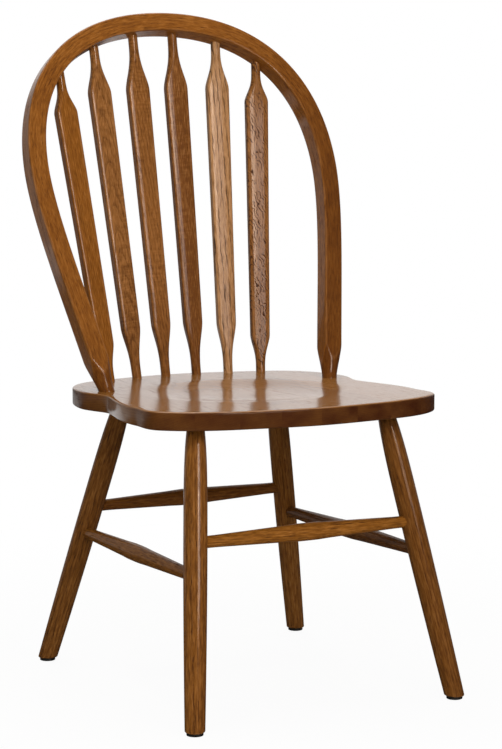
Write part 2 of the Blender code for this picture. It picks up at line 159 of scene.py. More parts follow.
# Oak: what each board starts from; a piece's own look changes some of it
oakPlain = {
    "dark": (0.100, 0.036, 0.009), "mid": (0.190, 0.072, 0.016), "light": (0.285, 0.120, 0.034),
    "toneStops": (0.12, 0.50, 0.90), "poreTone": (0.030, 0.010, 0.004),
    "wornAndHighlightTone": (0.42, 0.21, 0.085), "shadeTone": (0.039, 0.0093, 0.0027),
    "pith": (0.055, 0.018), "tilt": 0.020, "wander": 0.012, "ringGap": 0.0034, "rings": 0.12,
    "squirm": 0.0, "twist": 90.0,      # small crooks in the rings: how far, how close
    "streak": (460.0, 34.0), "poreCut": (0.56, 0.66), "pores": 0.55,
    "line": 0.0, "lineWidth": 0.26, "lineCut": (0.36, 0.56), "dash": (70.0, 12.0),      # pores in rows
    "strand": (540.0, 60.0), "fibre": 1.7, "blotch": 0.55, "curl": 0.0,
    "earlyCut": (0.55, 0.05), "fineCut": (0.58, 0.70), "curlCut": (0.35, 0.65), "rubCut": (0.30, 0.70),
    "stave": 0.0, "staveTone": 0.0, "staveShift": (3.0, 7.0, 5.0),      # glued boards: width, tone, place
    "wear": 0.30, "rough": 0.45, "gloss": 0.04, "bump": 0.35, "bumpDepth": 0.0004,
    "coat": 0.60, "coatRough": 0.10, "uneven": 0.4, "open": 1.0,      # lacquer, and how far pores break it
}
oakNoise = {      # turns to the metre across the grain and along it
    "wander": (14.0, 1.6), "fine": (2600.0, 120.0), "blotch": (15.0, 5.0), "curlPatch": (30.0, 9.0),
    "ripple": (70.0, 300.0), "rub": (60.0, 22.0), "lacquer": (160.0, 45.0), "mottle": (26.0, 40.0, 26.0),
}


# stained oak: tone is fibres, blotches, rings and curl added up; rings are the fraction of the distance
# from a pith off to one side, over the gap; pores gather at each ring's start, arrises are rubbed paler
def oakFinish(name, **changes):
    look = {**oakPlain, **changes}
    lacquer = {"IOR": 1.5, "Specular IOR Level": look["gloss"],
               "Coat Roughness": look["coatRough"], "Coat IOR": 1.5}
    material, shader, start = newFinish(name, lacquer)
    grain = start.node("ShaderNodeAttribute", {"attribute_name": "grain"}, out="Vector")
    arris = start.node("ShaderNodeAttribute", {"attribute_name": "arris"}, out="Fac")
    shade = start.node("ShaderNodeAttribute", {"attribute_name": "shade"}, out="Fac")
    across, deep, along = grain.axes()
    staveTone = 0.0
    if look["stave"]:      # each board takes its wood from another place
        strip = (across / look["stave"]).maths("FLOOR")
        chance = strip.node("ShaderNodeTexWhiteNoise", {"noise_dimensions": "1D"}, {"W": strip})
        places = {axis: chance * far for axis, far in enumerate(look["staveShift"])}
        shift = chance.node("ShaderNodeCombineXYZ", None, places)
        grain = grain.node("ShaderNodeVectorMath", {"operation": "ADD"}, {0: grain, 1: shift})
        staveTone = (chance - 0.5) * look["staveTone"]
    warp = (grain.drawn(oakNoise["wander"]) - 0.5) * look["wander"]
    if look["squirm"]:
        warp = warp + (grain.drawn((look["twist"], look["twist"]), 1.0) - 0.5) * look["squirm"]
    pithX, pithY = look["pith"]
    reach = ((across + pithX) ** 2.0 + (deep + pithY) ** 2.0).maths("SQRT") + along * look["tilt"] + warp
    band = (reach / look["ringGap"]).maths("FRACT")
    early = band.step(*look["earlyCut"])      # the ring's porous start
    streak = grain.drawn(look["streak"]).step(*look["poreCut"])
    fine = grain.drawn(oakNoise["fine"], 1.0).step(*look["fineCut"])
    row = band.step(look["lineWidth"], 0.3 * look["lineWidth"])
    line = row * grain.drawn(look["dash"]).step(*look["lineCut"]) * look["line"]
    pore = (streak * (0.35 + 0.65 * early)).most(fine * (0.25 + 0.55 * early), line)
    fibre = grain.drawn(look["strand"], 3.0, 0.6) - 0.5
    blotch = grain.drawn(oakNoise["blotch"]) - 0.5
    tone = 0.5 + fibre * look["fibre"] + blotch * look["blotch"] + (0.4 - early) * look["rings"] + staveTone
    if look["curl"]:      # cross ripples in patches
        patch = grain.drawn(oakNoise["curlPatch"]).step(*look["curlCut"])
        ripple = grain.drawn(oakNoise["ripple"]) - 0.5
        tone = tone + ripple * patch * look["curl"]
    wood = tone.ramp(*zip(look["toneStops"], (look["dark"], look["mid"], look["light"])))
    wood = wood.tint(pore * look["pores"], look["poreTone"])
    mottle = grain.speck(oakNoise["mottle"], 3.0) - 0.5
    # the shade attribute tints toward a dark tone: sawn wood on the seat's edge and the bow's tapered feet,
    # the bow's uprights, and painted shade on the spindles' narrow sides
    wood = wood.tint(shade * (0.80 + fibre * 0.3 + mottle * 0.7), look["shadeTone"])
    # arrises rubbed paler: worn wood, and on the bow's foot creases also a painted highlight
    rub = arris * grain.drawn(oakNoise["rub"]).step(*look["rubCut"]) * look["wear"]
    wood = wood.tint(rub, look["wornAndHighlightTone"])
    bump = (fibre * 0.3 - pore).bump(look["bump"], look["bumpDepth"])
    rough = look["rough"] + pore * 0.20 + blotch * 0.10
    patchy = 1.0 + (grain.drawn(oakNoise["lacquer"], 3.0, 0.6) - 0.5) * (2.0 * look["uneven"])
    coat = (1.0 - pore * look["open"]) * (1.0 - shade * 0.7) * look["coat"] * patchy
    flows = {"Base Color": wood, "Roughness": rough, "Coat Weight": coat, "Normal": bump}
    return feed(material, shader, flows)


plasticPlain = {
    "dark": (0.008, 0.0075, 0.007), "light": (0.018, 0.017, 0.016), "scuffTone": (0.09, 0.085, 0.08),
    "grit": (1800.0, 1800.0, 1800.0), "scuff": (240.0, 700.0, 900.0), "scuffCut": (0.55, 0.75),
    "scuffHeight": (0.0022, 0.0002), "rough": 0.42, "bump": 0.3, "bumpDepth": 0.0002, "IOR": 1.46,
}


# black plastic: a fine moulded grain, grey scuffs low down where it slides
def plasticFinish(name):
    look = plasticPlain
    material, shader, start = newFinish(name, {"IOR": look["IOR"]})
    spot = start.node("ShaderNodeTexCoord", out="Object")
    grit = spot.speck(look["grit"], 3.0)
    scuff = spot.speck(look["scuff"], 3.0).step(*look["scuffCut"])
    low = spot.axes()[2].step(*look["scuffHeight"])
    colour = grit.ramp((0.3, look["dark"]), (0.7, look["light"]))
    colour = colour.tint(scuff * low * 0.6, look["scuffTone"])
    rough = look["rough"] + scuff * 0.25 + grit * 0.1
    bump = grit.bump(look["bump"], look["bumpDepth"])
    return feed(material, shader, {"Base Color": colour, "Roughness": rough, "Normal": bump})


steelPlain = {
    "dark": (0.46, 0.46, 0.47), "light": (0.62, 0.62, 0.63), "tarnishTone": (0.20, 0.17, 0.14),
    "drawn": (4000.0, 90.0), "tarnish": (500.0, 500.0), "tarnishCut": (0.45, 0.75), "rough": 0.28,
}


# bright steel: drawn lines along the nail, a little tarnish
def steelFinish(name):
    look = steelPlain
    material, shader, start = newFinish(name, {"Metallic": 1.0})
    spot = start.node("ShaderNodeTexCoord", out="Object")
    drawn = spot.drawn(look["drawn"])
    tarnish = spot.drawn(look["tarnish"], 3.0).step(*look["tarnishCut"])
    colour = drawn.ramp((0.3, look["dark"]), (0.7, look["light"]))
    colour = colour.tint(tarnish * 0.4, look["tarnishTone"])
    rough = look["rough"] + tarnish * 0.3 + drawn * 0.1
    return feed(material, shader, {"Base Color": colour, "Roughness": rough})


# a field over the rings as one list of points, then the means of its first and last rings
def withEnds(field):
    rows, around = field.shape[:2]
    ends = field[[0, -1]].reshape(2, around, -1).mean(1)
    return np.concatenate([field.reshape(rows * around, -1), ends])


# rings of equal count joined by quads, each end closed by a fan round its mean point
def skin(name, node, material, rings, grain, arris, shade=None):
    rows, around = rings.shape[:2]
    shade = np.zeros((rows, around)) if shade is None else shade
    points = withEnds(rings) + np.array([0.0, stance["slideY"], 0.0])
    spot = np.arange(rows * around).reshape(rows, around)
    after = np.roll(spot, -1, axis=1)
    quads = np.stack([spot[:-1], after[:-1], after[1:], spot[1:]], axis=-1).reshape(-1, 4)
    low = np.stack([after[0], spot[0], np.full(around, rows * around)], axis=-1)
    high = np.stack([spot[-1], after[-1], np.full(around, rows * around + 1)], axis=-1)
    mesh = bpy.data.meshes.new(name)
    mesh.from_pydata(points.tolist(), [], quads.tolist() + low.tolist() + high.tolist())
    for key, kind, part, field in (("grain", "FLOAT_VECTOR", "vector", grain),
                                   ("arris", "FLOAT", "value", arris), ("shade", "FLOAT", "value", shade)):
        values = withEnds(field).astype(np.float32).ravel()
        mesh.attributes.new(key, kind, "POINT").data.foreach_set(part, values)
    mesh.shade_smooth()
    mesh.materials.append(material)
    piece = bpy.data.objects.new(name, mesh)
    bpy.context.collection.objects.link(piece)
    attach(piece, "root")
    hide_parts(node)


# three unit axes as rows: z along the direction, x as near as it can be to the side
def uprightAxes(direction, side):
    z = direction / np.linalg.norm(direction)
    y = np.cross(z, side)
    y = y / np.linalg.norm(y)
    return np.array([np.cross(y, z), y, z])


# a turned body: each point is start plus radius times cosine and sine across the axis plus height along it
def turnedRings(start, direction, side, radius, height):
    angle = roundAngles(radius.shape[1])
    local = np.broadcast_arrays(radius * np.cos(angle), radius * np.sin(angle), height)
    local = np.stack(local, axis=-1)
    return start + local @ uprightAxes(direction, side), local


# Seat: a polar grid round the middle
seatShape = {
    "height": 0.445, "thickness": 0.027, "edge": 0.0035,
    "bearings": (-90.0, -68.0, -36.0, -24.0, 8.0, 25.0, 45.0, 67.5, 90.0),      # from front to back
    "radii": (0.2302, 0.2383, 0.2834, 0.2583, 0.2176, 0.2532, 0.2755, 0.2550, 0.2500),
    "saddleDepth": 0.006, "saddleHalfWidth": 0.165, "saddleHalfLength": 0.150,
    "thighDip": 0.0008, "thighHalfWidth": 0.185, "thighFade": 2.2,
    "around": 288, "underRows": 15, "edgeRows": 7, "topRows": 48, "innermost": (0.02, 0.01),
    "sawnRows": (2, 10),      # rows of the edge that show dark sawn wood
    "rimPale": 0.80, "paleBearing": 1.03 * math.pi, "paleSpread": 0.34, "rightDeeper": 0.18,
}
seatLook = {
    "mid": (0.203, 0.084, 0.017), "light": (0.262, 0.119, 0.033), "pith": (0.02, 0.09),
    "coat": 0.86, "coatRough": 0.16, "uneven": 0.0, "open": 0.35, "stave": 0.062, "staveTone": 0.18,
    "strand": (640.0, 12.0), "fibre": 0.5, "blotch": 0.3, "pores": 0.25, "wear": 0.06, "bump": 0.15,
}


# the edge's distance from the middle: a smooth cubic through radii at bearings, alike left and right
def seatReach(angle):
    mark, radii = np.array(seatShape["bearings"]), np.array(seatShape["radii"])
    slope = np.zeros(len(radii))
    slope[1:-1] = (radii[2:] - radii[:-2]) / (mark[2:] - mark[:-2])
    folded = np.degrees(np.arctan2(np.sin(angle), np.abs(np.cos(angle))))
    low = np.clip(np.searchsorted(mark, folded, side="right") - 1, 0, len(radii) - 2)
    span = mark[low + 1] - mark[low]
    t = (folded - mark[low]) / span
    return ((2 * t ** 3 - 3 * t ** 2 + 1) * radii[low] + (t ** 3 - 2 * t ** 2 + t) * span * slope[low]
            + (3 * t ** 2 - 2 * t ** 3) * radii[low + 1] + (t ** 3 - t ** 2) * span * slope[low + 1])


# height of the seat's top: the rim less a shallow bowl, or less a dip that runs out over the front edge
def seatTop(x, y):
    s = seatShape
    bowl = 1.0 - (x / s["saddleHalfWidth"]) ** 2 - (y / s["saddleHalfLength"]) ** 2
    front = ease(-y / s["radii"][0]) * ease(s["thighFade"] * (1.0 - np.abs(x) / s["thighHalfWidth"]))
    return s["height"] - np.maximum(s["saddleDepth"] * ease(bowl), s["thighDip"] * front)


# rows go from the middle of the underside out, round the edge and in to the middle of the top
def makeSeat(material):
    s = seatShape
    under, edgeRows, topRows, edge = s["underRows"], s["edgeRows"], s["topRows"], s["edge"]
    angle = roundAngles(s["around"])
    turn = np.linspace(0.0, quarterTurn, edgeRows)
    away, rest = edge * (1 - np.cos(turn)), edge * (1 - np.sin(turn))
    inset = np.concatenate([np.full(under, edge), rest, away, np.full(topRows, edge)])
    underFrom, topTo = s["innermost"]
    share = np.concatenate([np.linspace(underFrom, 1.0, under + 1)[:-1], np.ones(2 * edgeRows),
                            np.linspace(1.0, topTo, topRows + 1)[1:]])
    far = (seatReach(angle)[None, :] - inset[:, None]) * share[:, None]
    x, y = far * np.cos(angle), far * np.sin(angle)
    rise = np.concatenate([np.zeros(under), away, np.zeros(edgeRows + topRows)])[:, None]
    drop = np.concatenate([np.zeros(under + edgeRows), rest, np.zeros(topRows)])[:, None]
    below = (np.arange(len(share)) < under + edgeRows)[:, None]
    z = np.where(below, s["height"] - s["thickness"] + rise, seatTop(x, y) - drop)
    arris = np.zeros_like(z)
    arris[under: under + 2 * edgeRows] = np.tile(np.sin(2 * turn), 2)[:, None]
    first, last = s["sawnRows"]
    # the rim is paler at the left waist, partly a painted reflection, and its lacquer is stronger there;
    # darker to the right
    pale = s["rimPale"] * np.exp(-((angle - s["paleBearing"]) / s["paleSpread"]) ** 2)
    shade = np.zeros_like(z)
    shade[under + first: under + last] = 1.0 - pale + s["rightDeeper"] * np.maximum(np.cos(angle), 0.0)
    rings, grain = np.stack([x, y, z], axis=-1), np.stack([x, z, y], axis=-1)
    skin("seat_board", "seat", material, rings, grain, arris, shade)


# Bow: a squared section carried along two Bezier curves in a plane that leans back
bowShape = {
    "lean": math.radians(20.4), "footY": 0.086, "footHalfWidth": 0.1932, "halfWidth": 0.2521,
    "widestHeight": 0.353, "height": 0.5940, "flare": 0.185, "handles": (0.142, 0.082, 0.152, 0.160),
    "face": 0.0293, "depth": 0.0318, "square": 14.0, "crowd": 0.80,      # crowds points into the corners
    "tenonRadius": 0.0117, "tenon": 0.016, "lip": 0.002, "roundLength": 0.004,
    "taperLength": 0.050, "taperPower": 1.25, "soft": 0.0004,
    "rightShade": 0.66, "leftShade": 0.15, "shadeRun": (1.4, 2.6), "innerFace": (0.90, 0.08),
    "facetShade": 0.55, "facetSoft": 0.0012, "creaseWearAndHighlight": 0.5, "creaseWidth": 0.0007, "creaseFrom": 0.05,
    "arrisFrom": (0.80, 0.12),
    "around": 72, "rows": 420, "endRows": 40, "linePoints": 300,
}
bowLook = {
    "dark": (0.110, 0.036, 0.006), "mid": (0.210, 0.072, 0.0095), "light": (0.314, 0.124, 0.024),
    "pores": 0.60, "ringGap": 0.0046, "rings": 0.06, "wander": 0.020,
    "strand": (600.0, 76.0), "fibre": 1.5, "streak": (580.0, 84.0),
}


# a point of the leaning plane from its half width, its height along the plane and its distance in front
def onBowPlane(u, v, front):
    lean, rise = math.sin(bowShape["lean"]), math.cos(bowShape["lean"])
    return np.stack(np.broadcast_arrays(u, bowShape["footY"] + v * lean - front * rise,
                                        seatShape["height"] + v * rise + front * lean), axis=-1)


# cubic Bezier: the four points weighed by the cubed and squared shares of t and 1 - t
def bezier(p, t):
    t = t[:, None]
    a, b, c, d = (np.array(q, float) for q in p)
    return a * (1 - t) ** 3 + 3 * b * t * (1 - t) ** 2 + 3 * c * t ** 2 * (1 - t) + d * t ** 3


# centreline from the right foot over the crown to the left foot, as half widths and heights along the plane
def bowLine():
    s = bowShape
    h = s["handles"]
    t = np.linspace(0.0, 1.0, s["linePoints"])
    foot, side, crown = (s["footHalfWidth"], 0.0), (s["halfWidth"], s["widestHeight"]), (0.0, s["height"])
    lower = bezier([foot, (foot[0] + s["flare"] * h[0], h[0]), (side[0], side[1] - h[1]), side], t)
    upper = bezier([side, (side[0], side[1] + h[2]), (h[3], crown[1]), crown], t)
    half = np.concatenate([lower, upper[1:]])
    return np.concatenate([half, half[-2::-1] * np.array([-1.0, 1.0])])


# section: a superellipse, held inside a circle that narrows to the tenon at each end
def makeBow(material):
    s = bowShape
    halfFace, halfDepth, power, soft = s["face"] / 2, s["depth"] / 2, s["square"], s["soft"]
    line = bowLine()
    run = np.concatenate([[0.0], np.cumsum(np.linalg.norm(np.diff(line, axis=0), axis=1))])
    total = run[-1]
    taperEnd = s["roundLength"] + s["taperLength"]
    near = np.concatenate([[-s["tenon"], -s["lip"]], np.linspace(0.0, taperEnd, s["endRows"])])
    middle = np.linspace(taperEnd, total - taperEnd, s["rows"])[1:-1]
    station = np.concatenate([near, middle, total - near[::-1]])
    held = np.clip(station, 0.0, total)
    slope = np.gradient(line, run, axis=0)
    tangent = np.stack([np.interp(held, run, slope[:, k]) for k in (0, 1)], axis=-1)
    tangent /= np.linalg.norm(tangent, axis=1, keepdims=True)
    centre = np.stack([np.interp(held, run, line[:, k]) for k in (0, 1)], axis=-1)
    centre = centre + tangent * (station - held)[:, None]
    turn = roundAngles(s["around"])
    turn = turn + s["crowd"] * np.sin(4.0 * turn) / 4.0
    cosine, sine = np.cos(turn), np.sin(turn)
    square = (np.abs(cosine / halfFace) ** power + np.abs(sine / halfDepth) ** power) ** (-1 / power)
    square = square[None, :]
    t = (np.minimum(station, total - station) - s["roundLength"]) / s["taperLength"]
    widen = np.clip(t, 0.0, 1.0)[:, None] ** s["taperPower"]
    limit = between(s["tenonRadius"], math.hypot(halfFace, halfDepth), widen)
    reach = -soft * np.logaddexp(-square / soft, -limit / soft)      # a soft minimum keeps the crease fair
    reach = np.minimum(reach, np.minimum(square, limit))
    a, b = reach * cosine, reach * sine
    out = np.stack([tangent[:, 1], -tangent[:, 0]], axis=-1)
    rings = onBowPlane(centre[:, :1] + out[:, :1] * a, centre[:, 1:] + out[:, 1:] * a, b)
    tapered = (t < 1.0)[:, None]
    facet = ease((square - limit) / s["facetSoft"]) * tapered      # tapered corners show dark end grain
    # a pale line along each crease of the tapered feet, carried on the arris: worn wood and a painted
    # highlight
    crease = np.exp(-((square - limit) / s["creaseWidth"]) ** 2) * tapered * (t > s["creaseFrom"])[:, None]
    corner = np.abs(a / halfFace) * np.abs(b / halfDepth)
    sharp, blunt = s["arrisFrom"]
    arris = np.maximum(ease((corner - sharp) / blunt), s["creaseWearAndHighlight"] * crease)
    # the front and outer faces darker toward the feet, most on the right, and not on the inner faces; leaving
    # the crown palest is painted light from above
    most, fade = s["shadeRun"]
    right, left = (ease(most - fade * share) for share in (station / total, 1.0 - station / total))
    darkAlongBow = (s["rightShade"] * right + s["leftShade"] * left)[:, None]      # palest at the crown
    inside, blend = s["innerFace"]
    darkAlongBow = darkAlongBow * (1.0 - ease((-a / halfFace - inside) / blend))
    shade = np.maximum(darkAlongBow, s["facetShade"] * facet)
    grain = np.stack([a, b, np.broadcast_to(station[:, None], a.shape)], axis=-1)
    skin("bow_bent", "bow", material, rings, grain, arris, shade)


makeSeat(oakFinish("seat_oak", **seatLook))
makeBow(oakFinish("bow_oak", **bowLook))
print("seat and bow made")


# Spindles: three pairs from the middle outwards, a flat blade between round ends
spindleShape = {
    "order": ((2, -1), (1, -1), (0, -1), (0, 1), (1, 1), (2, 1)),      # pair and side, from left to right
    "footX": (0.0272, 0.081, 0.1335), "footY": (0.226, 0.219, 0.206), "topX": (0.0352, 0.109, 0.176),
    "topDrift": (0.0160, 0.0135, 0.0122), "turn": (2.5, 6.5, 10.5), "setback": 0.004,
    "lowerNeck": (0.005, 0.005, 0.003), "lowerShoulder": (0.087, 0.083, 0.061),
    "upperNeck": (0.022, 0.022, 0.029), "upperShoulder": (0.102, 0.090, 0.080), "shoulderPower": 1.6,
    "neckRadius": 0.0074, "neckRound": 0.94, "tenon": 0.016, "lip": 0.004,
    "lowerWidth": 0.0303, "upperWidth": 0.0374, "thickness": 0.0150, "crown": 0.21, "bevel": (0.0024, 0.0016),
    "border": 0.0070, "borderSteps": (0.1, 0.2, 0.9, 0.5),      # where edges are rubbed
    "paintedSideShade": 0.35, "sideWidth": 0.0010, "sideSoft": 0.0008, "grainStep": 1.7,
    "rows": (8, 28, 60, 28, 8), "cornerPoints": 9, "flatPoints": 13, "flatSpan": (0.04, 0.96),
}
spindleLooks = (
    {"coat": 0.80,
     "dark": (0.13, 0.043, 0.005), "mid": (0.226, 0.079, 0.010), "light": (0.325, 0.128, 0.024)},
    {"coat": 0.75, "mid": (0.225, 0.090, 0.022), "light": (0.34, 0.15, 0.045), "curl": 1.0,
     "streak": (500.0, 60.0), "line": 0.4, "lineWidth": 0.36, "dash": (70.0, 40.0),
     "ringGap": 0.0050, "pith": (0.004, 0.018), "tilt": 0.14, "squirm": 0.004},
    {"coat": 0.52, "mid": (0.208, 0.079, 0.017), "light": (0.315, 0.134, 0.038), "curl": 0.8,
     "streak": (500.0, 60.0), "line": 0.35, "lineWidth": 0.34, "dash": (70.0, 40.0),
     "ringGap": 0.0052, "pith": (0.020, 0.018), "tilt": 0.08, "squirm": 0.004},
    {"coat": 0.42, "mid": (0.142, 0.048, 0.0085), "curl": 0.6,
     "streak": (500.0, 60.0), "line": 0.25, "tilt": 0.05},
    # the fifth spindle's pale, greyish tones are partly painted sheen
    {"coat": 0.36, "dark": (0.17, 0.080, 0.027), "mid": (0.355, 0.181, 0.073), "light": (0.48, 0.27, 0.130),
     "poreTone": (0.048, 0.025, 0.016), "pores": 0.95, "poreCut": (0.59, 0.70), "streak": (430.0, 20.0),
     "line": 0.85, "lineWidth": 0.27, "dash": (110.0, 26.0), "lineCut": (0.40, 0.58),
     "ringGap": 0.0074, "pith": (0.060, 0.012), "tilt": 0.05,
     "wander": 0.026, "squirm": 0.0045, "twist": 60.0},
    {"coat": 0.42, "dark": (0.10, 0.038, 0.010), "mid": (0.205, 0.080, 0.018), "light": (0.29, 0.127, 0.036),
     "poreTone": (0.032, 0.012, 0.008), "pores": 0.85, "streak": (430.0, 70.0),
     "line": 1.0, "lineWidth": 0.42, "dash": (90.0, 50.0), "lineCut": (0.44, 0.56),
     "ringGap": 0.0060, "pith": (0.030, 0.012), "tilt": 0.5,
     "wander": 0.030, "squirm": 0.0150, "twist": 105.0},
)


# oblong: at each corner a quarter turn round a centre set in by the bevel's two sizes, then points along the
# flat to the next corner, the broad faces crowned by a share of the fourth power of the way across
def oblongRings(halfWidth, halfDepth, bevelX, bevelY, crown, height):
    turn = np.linspace(0.0, quarterTurn, spindleShape["cornerPoints"])
    w, d, bx, by = (field[:, None] for field in (halfWidth, halfDepth, bevelX, bevelY))
    arcs = []
    for quarter, (signX, signY) in enumerate(((1, 1), (-1, 1), (-1, -1), (1, -1))):
        angle = turn + quarter * quarterTurn
        arcs.append(np.stack([signX * (w - bx) + bx * np.cos(angle),
                              signY * (d - by) + by * np.sin(angle)], axis=-1))
    way = np.linspace(*spindleShape["flatSpan"], spindleShape["flatPoints"])[None, :, None]
    sides = [part for arc, after in zip(arcs, arcs[1:] + arcs[:1])
             for part in (arc, between(arc[:, -1:], after[:, :1], way))]
    x, y = np.moveaxis(np.concatenate(sides, axis=1), -1, 0)
    y = y * (1.0 - crown[:, None] * (x / w) ** 4)
    return np.stack([x, y, np.broadcast_to(height[:, None], x.shape)], axis=-1)


# blade: the lesser of two smooth steps, one up from each neck; with it sizes go from neck to blade
def makeSpindle(number, pair, sign, material):
    s = spindleShape
    foot = np.array([sign * s["footX"][pair], s["footY"][pair], seatShape["height"]])
    line = bowLine()
    crownSide = line[len(line) // 4: len(line) // 2 + 1]
    topU = sign * s["topX"][pair] - s["topDrift"][pair]
    topV = np.interp(abs(topU), crownSide[::-1, 0], crownSide[::-1, 1])
    top = onBowPlane(topU, topV, -s["setback"])
    length = np.linalg.norm(top - foot)
    lowNeck, lowShoulder = s["lowerNeck"][pair], s["lowerShoulder"][pair]
    highNeck, highShoulder = length - s["upperNeck"][pair], length - s["upperShoulder"][pair]
    marks = (0.0, lowNeck, lowShoulder, highShoulder, highNeck, length)
    spans = [np.linspace(low, high, count)[:-1] for low, high, count in zip(marks, marks[1:], s["rows"])]
    height = np.concatenate([[-s["tenon"], -s["lip"]], *spans, [length]])
    fromLow = np.clip((height - lowNeck) / (lowShoulder - lowNeck), 0.0, 1.0)
    fromHigh = np.clip((highNeck - height) / (highNeck - highShoulder), 0.0, 1.0)
    blade = np.minimum(*(ease(way ** s["shoulderPower"]) for way in (fromLow, fromHigh)))
    rise = np.clip((height - lowShoulder) / (highShoulder - lowShoulder), 0.0, 1.0)
    width = between(s["lowerWidth"], s["upperWidth"], rise)
    halfWidth = between(s["neckRadius"], width / 2, blade)
    halfDepth = between(s["neckRadius"], s["thickness"] / 2, blade)
    bevelX, bevelY = (between(s["neckRound"] * s["neckRadius"], size, blade) for size in s["bevel"])
    local = oblongRings(halfWidth, halfDepth, bevelX, bevelY, s["crown"] * blade, height)
    turn = math.radians(s["turn"][pair])
    side = np.array([math.cos(turn), -sign * math.sin(turn), 0.0])
    rings = foot + local @ uprightAxes(top - foot, side)
    fromSide = halfWidth[:, None] - np.abs(local[..., 0])
    inBorder = fromSide / s["border"]
    rubFrom, rubIn, rubTo, rubOut = s["borderSteps"]
    arris = ease((inBorder - rubFrom) / rubIn) * ease((rubTo - inBorder) / rubOut) * blade[:, None]
    # painted shade: the narrow sides of the blade darkened as if they lay in shade
    shade = s["paintedSideShade"] * ease((s["sideWidth"] - fromSide) / s["sideSoft"]) * blade[:, None]
    grain = local + axisZ * s["grainStep"] * number
    skin("arrow_spindle_" + str(number), "spindle_" + str(number), material,
         rings, grain, arris, shade)


for number, ((pair, sign), look) in enumerate(zip(spindleShape["order"], spindleLooks), 1):
    makeSpindle(number, pair, sign, oakFinish("spindle_oak_" + str(number), **look))
print("spindles made")


# Legs: turned on an axis from the floor to the seat's underside, the foot sawn level above its glide
legShape = {
    "footFront": (0.215, -0.2536), "footBack": (0.2256, 0.2536),
    "topFront": (0.158, -0.144), "topBack": (0.134, 0.1565),
    "footRadius": 0.0144, "bellyRadius": 0.0172, "bellyHeight": 0.260, "neckRadius": 0.0132,
    "neckLength": 0.007, "footTaper": 1.7, "neckTaper": 4.3, "footRound": 0.0018, "tenon": 0.016,
    "around": 64, "rows": 120, "roundRows": 7, "grainStep": 1.3,
}
legPlain = {
    "dark": (0.075, 0.026, 0.005), "mid": (0.150, 0.056, 0.009), "light": (0.225, 0.094, 0.022),
    "pores": 0.74, "coat": 0.25, "strand": (480.0, 50.0), "streak": (520.0, 60.0), "poreCut": (0.57, 0.65),
    "ringGap": 0.0055, "pith": (0.030, 0.018), "line": 0.3,
}
legLooks = {
    "front_left": {"coat": 0.55, "mid": (0.168, 0.061, 0.0095), "light": (0.262, 0.108, 0.024)},
    "front_right": {"mid": (0.126, 0.046, 0.0078), "light": (0.190, 0.078, 0.018)},
    "back_left": {"mid": (0.135, 0.050, 0.009)},
    "back_right": {},
}
glideShape = {"radius": 0.0120, "height": 0.0045, "edge": 0.0010, "around": 64, "edgeRows": 8}
corners = {"front_left": (-1, -1), "front_right": (1, -1), "back_left": (-1, 1), "back_right": (1, 1)}


# both ends of a leg's axis: on the floor, and at the seat's underside
def legAxis(across, along):
    end = "Front" if along < 0 else "Back"
    foot, top = legShape["foot" + end], legShape["top" + end]
    return (np.array([across * foot[0], foot[1], 0.0]),
            np.array([across * top[0], top[1], seatShape["height"] - seatShape["thickness"]]))


# radius: a belly that thins to the foot by a power of the way down, and to the neck by a power of the way up
def legRadius(height, length):
    s = legShape
    down = np.clip((s["bellyHeight"] - height) / s["bellyHeight"], 0.0, 1.0)
    up = np.clip((height - s["bellyHeight"]) / (length - s["neckLength"] - s["bellyHeight"]), 0.0, 1.0)
    return (s["bellyRadius"] + (s["footRadius"] - s["bellyRadius"]) * down ** s["footTaper"]
            + (s["neckRadius"] - s["bellyRadius"]) * up ** s["neckTaper"])


# rows rise from the level cut, round its edge, then straight up to the tenon's end
def makeLeg(corner, signs, material, seed):
    s = legShape
    foot, top = legAxis(*signs)
    length = np.linalg.norm(top - foot)
    axes = uprightAxes(top - foot, axisX)
    angle = roundAngles(s["around"])
    level = glideShape["height"] + stance["gap"]
    lift = s["footRadius"] * (axes[0, 2] * np.cos(angle) + axes[1, 2] * np.sin(angle))
    sawn = (level - lift) / axes[2, 2]      # height along the axis where the level cut meets each side
    turn = np.linspace(0.0, quarterTurn, s["roundRows"])[:, None]
    rim = sawn[None, :] + s["footRound"] * (1 - np.sin(turn))[::-1]
    body = between(rim[-1:], length + s["tenon"], np.linspace(0.0, 1.0, s["rows"])[1:, None])
    height = np.concatenate([rim, body])
    radius = legRadius(np.maximum(height, 0.0), length)
    radius[:s["roundRows"]] -= s["footRound"] * (1 - np.cos(turn))[::-1]
    rings, local = turnedRings(foot, top - foot, axisX, radius, height)
    arris = np.zeros(height.shape)
    arris[:s["roundRows"]] = np.sin(2 * turn)
    grain = local + axisZ * s["grainStep"] * seed
    skin("turned_leg_" + corner, "leg_" + corner, material, rings, grain, arris)


# Glides: a moulded disc, its profile a flat underside and two quarter-round edges
def makeGlide(corner, signs, material):
    s = glideShape
    foot, top = legAxis(*signs)
    centre = between(foot, top, s["height"] / top[2]) * np.array([1.0, 1.0, 0.0])
    turn = np.linspace(0.0, quarterTurn, s["edgeRows"])
    away, rest = s["edge"] * (1 - np.cos(turn)), s["edge"] * (1 - np.sin(turn))
    radius = s["radius"] - np.concatenate([rest, away])[:, None]
    height = np.concatenate([away, s["height"] - rest])[:, None]
    radius = np.broadcast_to(radius, (len(radius), s["around"]))
    rings, local = turnedRings(centre, axisZ, axisX, radius, height)
    skin("moulded_glide_" + corner, "glide_" + corner, material,
         rings, local, np.zeros(local.shape[:2]))


glidePlastic = plasticFinish("glide_plastic")
for seed, (corner, signs) in enumerate(corners.items(), 1):
    makeLeg(corner, signs, oakFinish("leg_oak_" + corner, **{**legPlain, **legLooks[corner]}), seed)
    makeGlide(corner, signs, glidePlastic)


